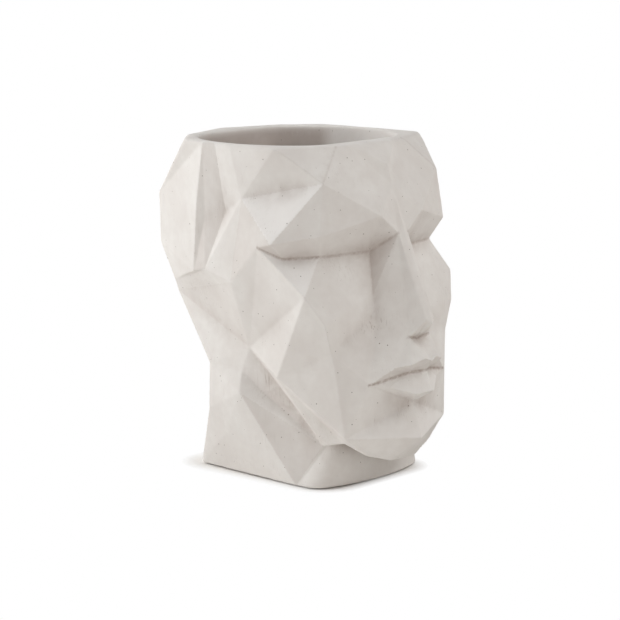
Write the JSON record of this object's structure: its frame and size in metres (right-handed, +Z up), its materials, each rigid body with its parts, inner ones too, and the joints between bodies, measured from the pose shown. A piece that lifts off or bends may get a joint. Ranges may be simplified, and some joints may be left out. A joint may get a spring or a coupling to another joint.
{
  "type": "head planter",
  "caption": "Faceted cast-cement head planter with an open top, a drain plug and rubber pads under its short neck.",
  "frame": {"origin": "middle of the head's footprint, on the ground plane under the rubber pads", "axes": "+Z up through the open top, the face looks to -Y, +X to the head's own left"},
  "size_m": [0.152, 0.198, 0.21],
  "materials": {
    "cast_cement": "matt, with fine pinholes",
    "plug_rubber": "matt",
    "pad_rubber": "matt"
  },
  "bodies": {
    "head": {"head_shell": "cast_cement", "front_left_pad": "pad_rubber", "front_right_pad": "pad_rubber", "rear_left_pad": "pad_rubber", "rear_right_pad": "pad_rubber"},
    "plug": {"drain_plug": "plug_rubber"}
  },
  "joints": [
    {"name": "plug_pull", "type": "slide", "parent": "head", "child": "plug", "axis": [0, 0, 1], "range_m": [0, 0.22]}
  ]
}
